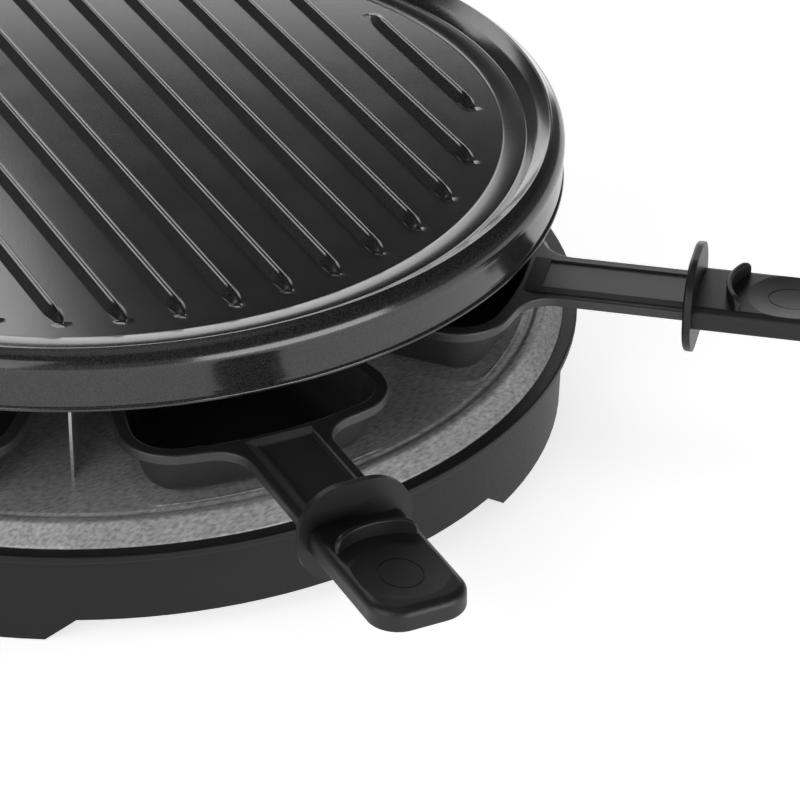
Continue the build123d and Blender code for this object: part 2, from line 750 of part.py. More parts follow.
# Grip: an oval guard, a long pad with a thumb rest and a small gusset
with BuildPart() as grip:
    with BuildSketch(Plane.XY.offset(grip_base)) as grip_plan:
        with Locations((guard_reach, 0)):
            Rectangle(grip_length, 2 * grip_half_width, align=(Align.MIN, Align.CENTER))
        fillet(grip_plan.vertices().group_by(Axis.X)[-1], grip_corner_radius)
    extrude(amount=grip_depth)
    fillet(grip.edges().group_by(Axis.Z)[-1], grip_edge_fillet)
    fillet(grip.edges().group_by(Axis.Z)[0], grip_base_fillet)
    with Locations((thumb_reach, 0, grip_top_height - thumb_depth + thumb_round_radius)):
        Sphere(thumb_round_radius, mode=Mode.SUBTRACT)
    with BuildSketch(Plane.XY.offset(grip_top_height - thumb_depth - thumb_mark_depth)):
        with Locations((thumb_reach, 0)):
            Ellipse(thumb_mark_length / 2, thumb_mark_width / 2)
            Ellipse(
                thumb_mark_length / 2 - thumb_line_width,
                thumb_mark_width / 2 - thumb_line_width,
                mode=Mode.SUBTRACT,
            )
    extrude(amount=thumb_depth + thumb_mark_depth, mode=Mode.SUBTRACT)
    with BuildSketch(Plane.YZ.offset(guard_reach)):
        with Locations((0, guard_centre)):
            RectangleRounded(guard_width, guard_height, guard_corner_radius)
    extrude(amount=guard_thickness)
    fillet(grip.faces().filter_by(Axis.X).sort_by(Axis.X)[0].edges(), guard_fillet)
    add(thumb_stop.part)
    with BuildSketch(Plane.XZ):
        with BuildLine():
            Polyline(
                (grip_start - overrun / 2, grip_base + grip_base_fillet),
                (grip_start - overrun / 2, grip_base - gusset_height),
                (grip_start + gusset_length, grip_base + grip_base_fillet),
                close=True,
            )
        make_face()
    extrude(amount=gusset_thickness / 2, both=True)
    tang_middle = pan_rim_height - pan_thickness / 2
    with BuildSketch(Plane.YZ.offset(guard_reach)):
        with Locations((0, tang_middle)):
            Rectangle(2 * (tang_half_width + fit_gap), pan_thickness + 2 * fit_gap)
    extrude(amount=tang_length + neck_end - guard_reach + seat_gap, mode=Mode.SUBTRACT)
    with BuildSketch(Plane.XY.offset(grip_base)):
        with Locations((grip_screw_reach, -grip_screw_across), (grip_screw_reach, grip_screw_across)):
            Circle(grip_screw_radius + nut_gap)
    extrude(amount=grip_screw_length, mode=Mode.SUBTRACT)
    with BuildSketch(Plane.XY.offset(grip_base)):
        with Locations((grip_screw_reach, -grip_screw_across), (grip_screw_reach, grip_screw_across)):
            Circle(grip_head_radius + fit_gap)
    extrude(amount=grip_head_height + fit_gap, mode=Mode.SUBTRACT)

# Screws that hold the tang in the grip
with BuildPart() as grip_screw:
    with BuildSketch(Plane.XY.offset(grip_base + fit_gap)):
        with Locations((grip_screw_reach, -grip_screw_across), (grip_screw_reach, grip_screw_across)):
            Circle(grip_head_radius)
    extrude(amount=grip_head_height)
    with BuildSketch(Plane.XY.offset(grip_base + fit_gap)):
        with Locations((grip_screw_reach, -grip_screw_across), (grip_screw_reach, grip_screw_across)):
            Circle(grip_screw_radius)
    extrude(amount=grip_screw_length - 2 * fit_gap)

for number, azimuth in enumerate(pan_azimuths, 1):
    place = Location((0, 0, 0), (0, 0, turn_of(azimuth)))
    save(pan.part.moved(place), f"pan_{number}")
    save(grip.part.moved(place), f"pan_grip_{number}")
    save(grip_screw.part.moved(place), f"pan_screw_{number}")

# Heat shield between the heater and the controls, which also carries the back of the plate
with BuildPart() as heat_shield:
    with BuildSketch(Plane.XZ.offset(-shield_face)):
        with BuildLine():
            Polyline(
                (-shield_half_width, deck_height),
                (shield_half_width, deck_height),
                (shield_half_width, arm_top),
                (-shield_half_width, arm_top),
                close=True,
            )
        make_face()
        with Locations((-half_leg, tube_height), (half_leg, tube_height)):
            Circle(tube_radius + fit_gap, mode=Mode.SUBTRACT)
    extrude(amount=-shield_thickness)
    with BuildSketch(Plane.XY.offset(deck_height)):
        with Locations((0, shield_face)):
            Rectangle(2 * shield_half_width, shield_flange_width, align=(Align.CENTER, Align.MAX))
        for side in (-1, 1):
            with Locations((side * shield_rivet_across, shield_face - shield_flange_width / 2)):
                Circle(rivet_radius + nut_gap, mode=Mode.SUBTRACT)
    extrude(amount=shield_thickness)
save(heat_shield.part, "heat_shield")

# Rivets through the shield's flange and the deck
with BuildPart() as shield_rivets:
    for side in (-1, 1):
        with BuildSketch(Plane.XY.offset(deck_height - deck_thickness - rivet_head_height)):
            with Locations((side * shield_rivet_across, shield_face - shield_flange_width / 2)):
                Circle(rivet_radius)
        extrude(amount=deck_thickness + shield_thickness + 2 * rivet_head_height)
        for level in (deck_height - deck_thickness - rivet_head_height, deck_height + shield_thickness):
            with BuildSketch(Plane.XY.offset(level)):
                with Locations((side * shield_rivet_across, shield_face - shield_flange_width / 2)):
                    Circle(rivet_head_radius)
            extrude(amount=rivet_head_height)
save(shield_rivets.part, "shield_rivets")


def box_plan(inset):
    """Plan outline of the control housing, moved inwards by inset."""
    with BuildSketch(mode=Mode.PRIVATE) as outline:
        with BuildLine():
            Polyline(
                (-box_inner_half_width, box_inner_reach),
                (box_inner_half_width, box_inner_reach),
                (box_outer_half_width, box_outer_reach),
                (-box_outer_half_width, box_outer_reach),
                close=True,
            )
        make_face()
        fillet(outline.vertices(), box_corner_radius)
        if inset:
            offset(amount=-inset, mode=Mode.REPLACE)
    return outline.sketch


# Control housing: an open-bottomed moulded box on the deck at the back
box_outside = box_plan(0)
box_inside = box_plan(box_wall_thickness)
with BuildPart() as control_housing:
    with BuildSketch(Plane.XY.offset(deck_height)):
        add(box_outside)
    extrude(amount=box_top - deck_height)
    fillet(control_housing.faces().sort_by(Axis.Z)[-1].edges(), box_edge_fillet)
    with BuildSketch(Plane.XY.offset(deck_height)):
        add(box_inside)
    extrude(amount=box_top - box_wall_thickness - deck_height, mode=Mode.SUBTRACT)
    with BuildSketch(Plane.XZ.offset(-box_inner_reach)):
        with Locations((-half_leg, tube_height), (half_leg, tube_height)):
            Circle(tube_radius + fit_gap)
    extrude(amount=-box_wall_thickness, mode=Mode.SUBTRACT)
    with BuildSketch(Plane.XZ.offset(-box_outer_reach)):
        with Locations((0, thermostat_centre)):
            Circle(thermostat_bush_radius + fit_gap)
        with Locations((lens_offset, thermostat_centre)):
            Circle(lens_radius + fit_gap)
        with Locations((bushing_offset, bushing_height)):
            Circle(bushing_radius + fit_gap)
    extrude(amount=box_wall_thickness, mode=Mode.SUBTRACT)
    with BuildSketch(Plane.XY.offset(deck_height)):
        for side in (-1, 1):
            with Locations((side * boss_across, boss_reach)):
                Circle(boss_radius)
                Circle(screw_radius + nut_gap, mode=Mode.SUBTRACT)
    extrude(amount=boss_height)
    with BuildSketch(Plane.XY.offset(deck_height)):
        for side in (-1, 1):
            with Locations((side * boss_across, boss_reach)):
                Rectangle(box_wall_thickness, boss_web_length, align=(Align.CENTER, Align.MAX))
                Circle(boss_radius - fit_gap, mode=Mode.SUBTRACT)
    extrude(amount=boss_height)
save(control_housing.part, "control_housing")

# Screws from under the deck into the housing's bosses
with BuildPart() as control_screws:
    for side in (-1, 1):
        with BuildSketch(Plane.XY.offset(deck_height - deck_thickness - screw_head_height)):
            with Locations((side * boss_across, boss_reach)):
                Circle(screw_head_radius)
        extrude(amount=screw_head_height)
        with BuildSketch(Plane.XY.offset(deck_height - deck_thickness)):
            with Locations((side * boss_across, boss_reach)):
                Circle(screw_radius)
        extrude(amount=deck_thickness + boss_height - screw_radius)
save(control_screws.part, "control_screws")

# Thermostat: a body on the housing's back wall with a bush through it
inner_wall = box_outer_reach - box_wall_thickness
with BuildPart() as thermostat:
    with BuildSketch(Plane.XZ.offset(-inner_wall)):
        with Locations((0, thermostat_centre)):
            Rectangle(thermostat_width, thermostat_height)
    extrude(amount=thermostat_depth)
    with BuildSketch(Plane.XZ.offset(-inner_wall)):
        with Locations((0, thermostat_centre)):
            Circle(thermostat_bush_radius)
    extrude(amount=-box_wall_thickness)
    with BuildSketch(Plane.XZ.offset(-box_outer_reach)):
        with Locations((0, thermostat_centre)):
            Circle(shaft_radius + running_gap)
    extrude(amount=box_wall_thickness + shaft_inset_length, mode=Mode.SUBTRACT)
save(thermostat.part, "thermostat")

# Thermostat shaft with a flat that drives the dial
with BuildPart() as dial_shaft:
    with BuildSketch(Plane.XZ.offset(-(inner_wall - shaft_inset_length + fit_gap))):
        with Locations((0, thermostat_centre)):
            Circle(shaft_radius)
    extrude(amount=-(shaft_end - fit_gap - inner_wall + shaft_inset_length - fit_gap))
    with BuildSketch(Plane.XZ.offset(-(box_outer_reach + dial_standoff))):
        with Locations((0, thermostat_centre + shaft_radius - shaft_flat_depth)):
            Rectangle(2 * shaft_radius, shaft_radius, align=(Align.CENTER, Align.MIN))
    extrude(amount=-dial_bore_depth, mode=Mode.SUBTRACT)
save(dial_shaft.part, "dial_shaft")

# Dial: a skirted knob with a raised pointer
dial_face = box_outer_reach + dial_standoff + dial_height
with BuildPart() as dial:
    with BuildSketch(Plane.XZ.offset(-(box_outer_reach + dial_standoff))):
        with Locations((0, thermostat_centre)):
            Circle(dial_radius)
    extrude(amount=-dial_height)
    with BuildSketch(Plane.XZ.offset(-(box_outer_reach + dial_standoff))):
        with Locations((0, thermostat_centre)):
            Circle(dial_skirt_radius)
    extrude(amount=-dial_skirt_height)
    fillet(dial.faces().filter_by(Axis.Y).sort_by(Axis.Y)[-1].edges(), dial_fillet)
    with BuildSketch(Plane.XZ.offset(-(dial_face - dial_fillet))):
        with Locations((0, thermostat_centre)):
            Rectangle(pointer_width, dial_radius - dial_fillet, align=(Align.CENTER, Align.MIN))
    extrude(amount=-(dial_fillet + pointer_height))
    with BuildSketch(Plane.XZ.offset(-(box_outer_reach + dial_standoff))):
        with Locations((0, thermostat_centre)):
            Circle(shaft_radius + nut_gap)
            with Locations((0, shaft_radius - shaft_flat_depth + nut_gap)):
                Rectangle(
                    3 * shaft_radius,
                    shaft_radius,
                    align=(Align.CENTER, Align.MIN),
                    mode=Mode.SUBTRACT,
                )
    extrude(amount=-dial_bore_depth, mode=Mode.SUBTRACT)
save(dial.part, "dial")

# Pilot lamp and its coloured lens
with BuildPart() as lamp_lens:
    with BuildSketch(Plane.XZ.offset(-box_outer_reach)):
        with Locations((lens_offset, thermostat_centre)):
            Circle(lens_flange_radius)
    extrude(amount=-lens_flange_height)
    fillet(lamp_lens.faces().filter_by(Axis.Y).sort_by(Axis.Y)[-1].edges(), lens_flange_height / 2)
    with BuildSketch(Plane.XZ.offset(-box_outer_reach)):
        with Locations((lens_offset, thermostat_centre)):
            Circle(lens_radius)
    extrude(amount=lens_length)
    with BuildSketch(Plane.XZ.offset(-(box_outer_reach - lens_length))):
        with Locations((lens_offset, thermostat_centre)):
            Circle(lamp_radius + nut_gap)
    extrude(amount=-lamp_length, mode=Mode.SUBTRACT)
save(lamp_lens.part, "lamp_lens")

with BuildPart() as pilot_lamp:
    with BuildSketch(Plane.XZ.offset(-(box_outer_reach - lens_length - lamp_tail_length))):
        with Locations((lens_offset, thermostat_centre)):
            Circle(lamp_radius)
    extrude(amount=-(lamp_length + lamp_tail_length - fit_gap))
    fillet(pilot_lamp.faces().filter_by(Axis.Y).sort_by(Axis.Y)[-1].edges(), lamp_radius / 2)
save(pilot_lamp.part, "pilot_lamp")

# Terminal block, thermal fuse and cord bushing
with BuildPart() as terminal_block:
    with BuildSketch(Plane.XY.offset(deck_height)):
        with Locations((0, terminal_reach)):
            Rectangle(terminal_length, terminal_depth)
    extrude(amount=terminal_height)
    with BuildSketch(Plane.XY.offset(deck_height + terminal_height)):
        with Locations((0, terminal_reach)):
            with GridLocations(terminal_length / terminal_poles, 0, terminal_poles, 1):
                Circle(terminal_hole_radius)
    extrude(amount=-terminal_hole_depth, mode=Mode.SUBTRACT)
save(terminal_block.part, "terminal_block")

with BuildPart() as terminal_screws:
    with BuildSketch(Plane.XY.offset(deck_height + terminal_height - terminal_hole_depth)):
        with Locations((0, terminal_reach)):
            with GridLocations(terminal_length / terminal_poles, 0, terminal_poles, 1):
                Circle(terminal_hole_radius - nut_gap)
    extrude(amount=terminal_hole_depth / 2)
save(terminal_screws.part, "terminal_screws")

with BuildPart() as thermal_fuse:
    with BuildSketch(Plane.YZ.offset(-fuse_length / 2)):
        with Locations((box_inner_reach + box_wall_thickness + fuse_radius + seat_gap, fuse_height)):
            Circle(fuse_radius)
    extrude(amount=fuse_length)
save(thermal_fuse.part, "thermal_fuse")

with BuildPart() as cord_bushing:
    with BuildSketch(Plane.XZ.offset(-box_outer_reach)):
        with Locations((bushing_offset, bushing_height)):
            Circle(bushing_flange_radius)
    extrude(amount=-bushing_flange_height)
    with BuildSketch(Plane.XZ.offset(-box_outer_reach)):
        with Locations((bushing_offset, bushing_height)):
            Circle(bushing_radius)
    extrude(amount=bushing_length)
    with BuildSketch(Plane.XZ.offset(-(box_outer_reach + bushing_flange_height))):
        with Locations((bushing_offset, bushing_height)):
            Circle(bushing_bore_radius)
    extrude(amount=bushing_length + bushing_flange_height, mode=Mode.SUBTRACT)
save(cord_bushing.part, "cord_bushing")
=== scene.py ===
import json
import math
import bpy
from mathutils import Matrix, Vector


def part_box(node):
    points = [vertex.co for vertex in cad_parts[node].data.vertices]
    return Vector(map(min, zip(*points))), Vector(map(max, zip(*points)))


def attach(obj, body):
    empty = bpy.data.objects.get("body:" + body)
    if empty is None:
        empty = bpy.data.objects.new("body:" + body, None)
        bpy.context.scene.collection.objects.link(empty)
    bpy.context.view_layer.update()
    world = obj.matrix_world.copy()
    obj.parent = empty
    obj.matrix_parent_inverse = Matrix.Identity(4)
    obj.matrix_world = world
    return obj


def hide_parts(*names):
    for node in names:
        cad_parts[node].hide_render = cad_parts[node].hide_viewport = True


bl_info = {
    "name": "Raclette grill",
    "version": (1, 0, 0),
    "blender": (4, 5, 0),
    "location": "View3D > Sidebar > Raclette grill",
    "description": "Finishes the pieces of the raclette grill and sets its studio stage",
    "category": "Object",
}

import bmesh
import bpy
from bpy.props import FloatProperty, FloatVectorProperty, IntProperty, PointerProperty
from mathutils import Matrix, Vector

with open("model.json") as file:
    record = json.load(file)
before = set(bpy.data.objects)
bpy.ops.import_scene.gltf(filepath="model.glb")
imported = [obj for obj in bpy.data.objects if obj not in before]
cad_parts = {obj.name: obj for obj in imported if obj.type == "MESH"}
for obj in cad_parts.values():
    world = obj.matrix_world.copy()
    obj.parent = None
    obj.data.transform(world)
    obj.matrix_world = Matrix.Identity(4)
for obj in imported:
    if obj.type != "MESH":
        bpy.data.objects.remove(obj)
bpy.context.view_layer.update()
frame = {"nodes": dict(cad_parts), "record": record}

# Sizes are in millimetres, and MM turns them into the scene's metres.
MM = 0.001
GRILL_Y = (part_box("grill_plate")[0].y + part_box("grill_plate")[1].y) / 2 / MM

# Seven equal places round the grill, of which six hold a pan
PLACES = 7
PITCH = 360 / PLACES
PAN_SHARES = (-2.5, -1.5, -0.5, 0.5, 1.5, 2.5)
RIB_AZIMUTH = 1.5 * PITCH

# Steps of a full spin, the distance in millimetres under which its points merge, and the angle
# in degrees over which an edge stays sharp
SPIN_STEPS = 240
MERGE_DISTANCE = 0.001
SHARP_ANGLE = 40


def size(name, default, what):
    """A length in millimetres that a user may change."""
    return FloatProperty(name=name, description=f"{what} in millimetres", default=default, min=0)


def count(name, default, description):
    """A number of mesh lines that a user may change."""
    return IntProperty(name=name, description=description, default=default, min=3)


def light(name, default, description):
    """A strength of light, where 1 is white."""
    return FloatProperty(name=name, description=description, default=default, min=0)


def watts(name, default, what):
    """The power of a lamp."""
    description = f"Power of the {what} in watts"
    return FloatProperty(name=name, description=description, default=default, min=0, unit="POWER")


def angle(name, degrees, description):
    """An angle that a user may change, given in degrees."""
    default = math.radians(degrees)
    return FloatProperty(name=name, description=description, default=default, subtype="ANGLE")


def shade(name, value, description):
    """A colour that a user may change, in linear light."""
    return FloatVectorProperty(
        name=name, description=description, default=value, size=3, subtype="COLOR", min=0, max=1
    )


# Settings


class GrillPlateSettings(bpy.types.PropertyGroup):
    radius: size("Radius", 165.8, "Radius of the plate's skirt")
    base: size("Base height", 87.7, "Height of the skirt's lower edge")
    crease: size("Crease height", 100.5, "Height where the skirt turns into the shoulder")
    crest_radius: size("Crest radius", 161, "Radius of the rim's highest line")
    crest: size("Crest height", 108.6, "Height of the rim's highest line")
    bend_radius: size("Bend radius", 156.1, "Radius of the bend in the rim's inner slope")
    bend: size("Bend height", 106, "Height of that bend")
    foot_radius: size("Foot radius", 152.3, "Radius where the rim's inner slope begins")
    step_radius: size("Step radius", 143.6, "Radius of the small step round the floor")
    step_rise: size("Step rise", 0.3, "Height of that step")
    floor: size("Floor height", 102.6, "Height of the plate's floor")
    sheet: size("Sheet", 3, "Thickness of the plate")
    skirt_wall: size("Skirt wall", 2.4, "Thickness of the skirt")
    taper: size("Taper", 0.5, "Distance that the skirt leans in above its bead")
    recess: size("Recess", 0.35, "Depth of the groove above the bead")
    bead_height: size("Bead height", 1.5, "Height of the bead round the skirt's lower edge")
    rib_first: IntProperty(
        name="First rib", description="Number of the first rib, from the middle", default=-6
    )
    rib_last: IntProperty(
        name="Last rib", description="Number of the last rib, from the middle", default=7
    )
    rib_pitch: size("Rib pitch", 18.78, "Distance from rib to rib")
    rib_shift: FloatProperty(
        name="Rib shift",
        description="Distance of the middle rib from the plate's middle in millimetres",
        default=-3,
    )
    rib_circle: size("Rib circle", 135.5, "Radius of the circle that the ribs end on")
    rib_top: size("Rib top", 0.75, "Half width of a rib's flat top")
    rib_half: size("Rib half width", 3.2, "Half width of a rib at its foot")
    rib_height: size("Rib height", 3, "Height of a rib above the floor")
    rib_tip: size("Rib tip", 10, "Length of a rib's tapered end")
    rib_lines: count("Rib lines", 10, "Mesh lines from a rib's middle to its foot")
    flat_lines: count("Flat lines", 3, "Mesh lines from there to half way to the next rib")
    cell: size("Cell", 1.3, "Mesh cell along the ribs")


class DeckSettings(bpy.types.PropertyGroup):
    radius: size("Radius", 166.6, "Radius of the deck's edge")
    height: size("Height", 43, "Height of the deck's top")
    bevel_width: size("Bevel width", 5.9, "Width of the bevelled edge")
    bevel_drop: size("Bevel drop", 6, "Height of the bevelled edge")
    flat_radius: size("Flat radius", 153.5, "Radius of the flat part")
    groove_radius: size("Groove radius", 156.6, "Radius of the ring groove")
    groove_width: size("Groove width", 3.6, "Width of the ring groove")
    groove_depth: size("Groove depth", 0.55, "Depth of the ring groove")
    sheet: size("Sheet", 1, "Thickness of the deck")
    cell: size("Cell", 1.6, "Mesh cell of the flat part")
    pan_back: size("Pan back", 82, "Radius of the pans' inner end")
    pan_front: size("Pan front", 160, "Radius of the pans' outer end")
    pan_back_half: size("Pan back half width", 36.5, "Half width of a pan at its inner end")
    pan_slope: FloatProperty(
        name="Pan slope", description="Growth of that half width per length", default=0.2
    )
    pan_corner: size("Pan corner", 17, "Radius of the pans' corners")
    bead_inset: size("Bead inset", 5.5, "Distance of the bead inside a pan's rim")
    bead_half: size("Bead half width", 2, "Half width of that bead")
    bead_height: size("Bead height", 0.25, "Height of that bead")


class StageSettings(bpy.types.PropertyGroup):
    lens: FloatProperty(
        name="Lens", description="Focal length of the camera in millimetres", default=171.25, min=10
    )
    camera: FloatVectorProperty(
        name="Camera place",
        description="Camera from the grill's axis, seen along its direction, in millimetres",
        default=(107.87, -1193.92, 716.17),
        size=3,
    )
    azimuth: angle("Azimuth", PITCH, "Camera azimuth")
    elevation: angle("Elevation", 31.24, "Camera elevation")
    floor_seen: shade(
        "Floor seen", (0.85, 0.85, 0.85), "Colour of the floor for the camera, besides its white"
    )
    floor_white: light("Floor white", 0.68, "Own white of the floor")
    low_front: light("Low front", 0.4, "Light from low down at the front")
    low_back: light("Low back", 0.15, "Light from low down at the back")
    middle: light("Middle", 0.04, "Light from the room half way up")
    roof: light("Roof", 0.6, "Light from straight above")
    wall: watts("Wall", 3.3, "low pale wall behind")
    left_box: watts("Left box", 4, "softbox behind at the left")
    right_box: watts("Right box", 3.5, "softbox at the right front")
    front_box: watts("Front box", 8.2, "softbox at the left front")


# Materials. Scales of patterns are per metre, and depths of relief are in metres.


def nodes_of(name, colour, metallic, roughness, specular=0.5):
    """A material with its shader, and the tree to add to. Uniform numbers stand on the shader."""
    made = bpy.data.materials.new(name)
    made.use_nodes = True
    tree = made.node_tree
    shader = tree.nodes["Principled BSDF"]
    shader.inputs["Base Color"].default_value = (*colour, 1)
    shader.inputs["Metallic"].default_value = metallic
    shader.inputs["Roughness"].default_value = roughness
    shader.inputs["Specular IOR Level"].default_value = specular
    return made, tree, shader


def pattern(tree, scale, detail=2, stretch=(1, 1, 1), kind="ShaderNodeTexNoise"):
    """A procedural pattern on the piece's own coordinates."""
    where = tree.nodes.new("ShaderNodeTexCoord")
    mapping = tree.nodes.new("ShaderNodeMapping")
    mapping.inputs["Scale"].default_value = stretch
    texture = tree.nodes.new(kind)
    texture.inputs["Scale"].default_value = scale
    if "Detail" in texture.inputs:
        texture.inputs["Detail"].default_value = detail
    tree.links.new(where.outputs["Object"], mapping.inputs["Vector"])
    tree.links.new(mapping.outputs["Vector"], texture.inputs["Vector"])
    return texture


def ramp(tree, source, stops):
    """A colour ramp fed by source, with (position, colour) stops."""
    made = tree.nodes.new("ShaderNodeValToRGB")
    tree.links.new(source, made.inputs["Fac"])
    while len(made.color_ramp.elements) < len(stops):
        made.color_ramp.elements.new(0.5)
    for element, (position, colour) in zip(made.color_ramp.elements, stops):
        element.position = position
        element.color = (*colour, 1)
    return made.outputs["Color"]


def spread(tree, source, low, high, start=0.3, end=0.7):
    """A value from low to high as source goes from start to end."""
    made = tree.nodes.new("ShaderNodeMapRange")
    made.inputs["From Min"].default_value = start
    made.inputs["From Max"].default_value = end
    made.inputs["To Min"].default_value = low
    made.inputs["To Max"].default_value = high
    tree.links.new(source, made.inputs["Value"])
    return made.outputs["Result"]


def relief(tree, shader, height, distance):
    """Bump of a real depth."""
    made = tree.nodes.new("ShaderNodeBump")
    made.inputs["Distance"].default_value = distance
    made.inputs["Strength"].default_value = 1
    tree.links.new(height, made.inputs["Height"])
    tree.links.new(made.outputs["Normal"], shader.inputs["Normal"])


def tinted(colour, factor):
    """The colour made lighter or darker, white at most."""
    return tuple(min(1, channel * factor) for channel in colour)


def varied(tree, shader, source, low, high):
    """Lets the roughness follow a pattern from low to high."""
    tree.links.new(spread(tree, source, low, high), shader.inputs["Roughness"])


def coat_finish(name, colour, roughness, fleck, fleck_share, specular):
    """Non-stick coat: satin black with a very fine mineral sparkle and a faint orange-peel."""
    made, tree, shader = nodes_of(name, colour, 0, roughness, specular)
    flecks = pattern(tree, scale=3800, kind="ShaderNodeTexVoronoi")
    cell = tree.nodes.new("ShaderNodeSeparateColor")
    tree.links.new(flecks.outputs["Color"], cell.inputs["Color"])
    stops = [(0, tinted(colour, 0.85)), (1 - 2 * fleck_share, tinted(colour, 1.1)), (1, fleck)]
    tree.links.new(ramp(tree, cell.outputs["Red"], stops), shader.inputs["Base Color"])
    cloud = pattern(tree, scale=45, detail=3)
    varied(tree, shader, cloud.outputs["Fac"], roughness * 0.94, roughness * 1.07)
    peel = pattern(tree, scale=1100)
    relief(tree, shader, peel.outputs["Fac"], 0.000006)
    return made


def moulded_finish(name, colour, roughness, grain=1500, depth=0.00004, specular=0.4):
    """Moulded plastic: an even tone with a fine spark-eroded grain."""
    made, tree, shader = nodes_of(name, colour, 0, roughness, specular)
    cloud = pattern(tree, scale=60, detail=3)
    stops = [(0.3, tinted(colour, 0.9)), (0.7, tinted(colour, 1.12))]
    tree.links.new(ramp(tree, cloud.outputs["Fac"], stops), shader.inputs["Base Color"])
    fine = pattern(tree, scale=grain, detail=3)
    varied(tree, shader, fine.outputs["Fac"], roughness * 0.9, roughness * 1.1)
    relief(tree, shader, fine.outputs["Fac"], depth)
    return made


def sheet_finish(name, colour, roughness, streak=(1, 1, 14), scale=160):
    """Plain rolled steel with a faint run of the rolls."""
    made, tree, shader = nodes_of(name, colour, 1, roughness)
    run = pattern(tree, scale, detail=4, stretch=streak)
    stops = [(0.25, tinted(colour, 0.8)), (0.75, tinted(colour, 1.15))]
    tree.links.new(ramp(tree, run.outputs["Fac"], stops), shader.inputs["Base Color"])
    varied(tree, shader, run.outputs["Fac"], roughness * 0.85, roughness * 1.15)
    relief(tree, shader, run.outputs["Fac"], 0.00002)
    return made


def zinc_finish(name, colour, dark):
    """Zinc-coated deck sheet: mid grey with fine darker speckles drawn out along the roll."""
    dull, bright = 0.42, 0.3
    made, tree, shader = nodes_of(name, colour, 0.25, dull)
    speckle = pattern(tree, scale=1000, detail=4, stretch=(1, 0.35, 1))
    cloud = pattern(tree, scale=60, detail=4)
    stops = [(0.34, dark), (0.46, tinted(colour, 0.85)), (0.7, tinted(colour, 1.2))]
    fleck = ramp(tree, speckle.outputs["Fac"], stops)
    dimming = ramp(tree, cloud.outputs["Fac"], [(0.32, (0.78, 0.78, 0.78)), (0.68, (1, 1, 1))])
    mix = tree.nodes.new("ShaderNodeMix")
    mix.data_type = "RGBA"
    mix.blend_type = "MULTIPLY"
    mix.inputs["Factor"].default_value = 1
    tree.links.new(fleck, mix.inputs["A"])
    tree.links.new(dimming, mix.inputs["B"])
    tree.links.new(mix.outputs["Result"], shader.inputs["Base Color"])
    varied(tree, shader, speckle.outputs["Fac"], dull, bright)
    relief(tree, shader, speckle.outputs["Fac"], 0.00002)
    return made


def lamp_finish(name, colour):
    """Clear coloured lens of the pilot lamp."""
    made, tree, shader = nodes_of(name, colour, 0, 0.12)
    shader.inputs["Transmission Weight"].default_value = 0.6
    cloud = pattern(tree, scale=300)
    varied(tree, shader, cloud.outputs["Fac"], 0.08, 0.2)
    return made


COAT_BLACK = (0.0105, 0.0105, 0.011)
PAN_BLACK = (0.02, 0.02, 0.0205)
PLASTIC_BLACK = (0.0075, 0.0075, 0.008)
EVEN = (1, 1, 1)

FINISHES = {
    "plate_coat": lambda: coat_finish(
        "plate coat", COAT_BLACK, 0.15, fleck=(0.03, 0.03, 0.029), fleck_share=0.03, specular=0.62
    ),
    "pan_coat": lambda: coat_finish(
        "pan coat", PAN_BLACK, 0.38, fleck=(0.035, 0.035, 0.035), fleck_share=0.02, specular=0.6
    ),
    "grip_plastic": lambda: moulded_finish("grip plastic", PLASTIC_BLACK, 0.42, depth=0.00002),
    "housing_plastic": lambda: moulded_finish(
        "housing plastic", PLASTIC_BLACK, 0.5, grain=1100, depth=0.00003, specular=0.3
    ),
    "deck_steel": lambda: zinc_finish("deck steel", (0.56, 0.56, 0.565), dark=(0.34, 0.34, 0.345)),
    "bracket_steel": lambda: sheet_finish("bracket steel", (0.48, 0.48, 0.48), 0.38),
    "fastener_steel": lambda: sheet_finish("fastener steel", (0.62, 0.62, 0.6), 0.3, EVEN, 700),
    "heater_tube": lambda: sheet_finish("heater tube", (0.09, 0.08, 0.075), 0.55, EVEN, 400),
    "pad_rubber": lambda: moulded_finish(
        "pad rubber", (0.02, 0.02, 0.02), 0.75, grain=900, depth=0.00006, specular=0.3
    ),
    "lens_plastic": lambda: lamp_finish("lens plastic", (0.6, 0.03, 0.015)),
    "lamp_glass": lambda: lamp_finish("lamp glass", (0.8, 0.75, 0.7)),
    "block_plastic": lambda: moulded_finish("block plastic", (0.55, 0.53, 0.47), 0.5),
    "fuse_metal": lambda: sheet_finish("fuse metal", (0.6, 0.6, 0.57), 0.35, EVEN, 500),
}
made_finishes = {}


def finish_of(slot):
    """The material of a slot, made once."""
    if slot not in made_finishes:
        made_finishes[slot] = FINISHES[slot]()
    return made_finishes[slot]


# Mesh helpers


def arc_points(start, through, end, steps):
    """Points of the arc through three (radius, height) points, start and end included."""
    (ax, az), (bx, bz), (cx, cz) = start, through, end
    a, b, c = (x**2 + z**2 for x, z in (start, through, end))
    d = 2 * (ax * (bz - cz) + bx * (cz - az) + cx * (az - bz))
    ux = (a * (bz - cz) + b * (cz - az) + c * (az - bz)) / d
    uz = (a * (cx - bx) + b * (ax - cx) + c * (bx - ax)) / d
    radius = math.hypot(ax - ux, az - uz)
    first = math.atan2(az - uz, ax - ux)
    middle = math.atan2(bz - uz, bx - ux)
    last = math.atan2(cz - uz, cx - ux)
    while middle < first:
        middle += math.tau
    while last < first:
        last += math.tau
    if middle > last:
        last -= math.tau
    turns = [first + (last - first) * i / steps for i in range(steps + 1)]
    return [(ux + radius * math.cos(turn), uz + radius * math.sin(turn)) for turn in turns]


def moved(radius, height, offset):
    """The (radius, height) point at an offset outwards and upwards."""
    return radius + offset[0], height + offset[1]


def bend(radius, height, offsets, steps):
    """Points of a small bend, the arc through three offsets from (radius, height)."""
    return arc_points(*(moved(radius, height, offset) for offset in offsets), steps)


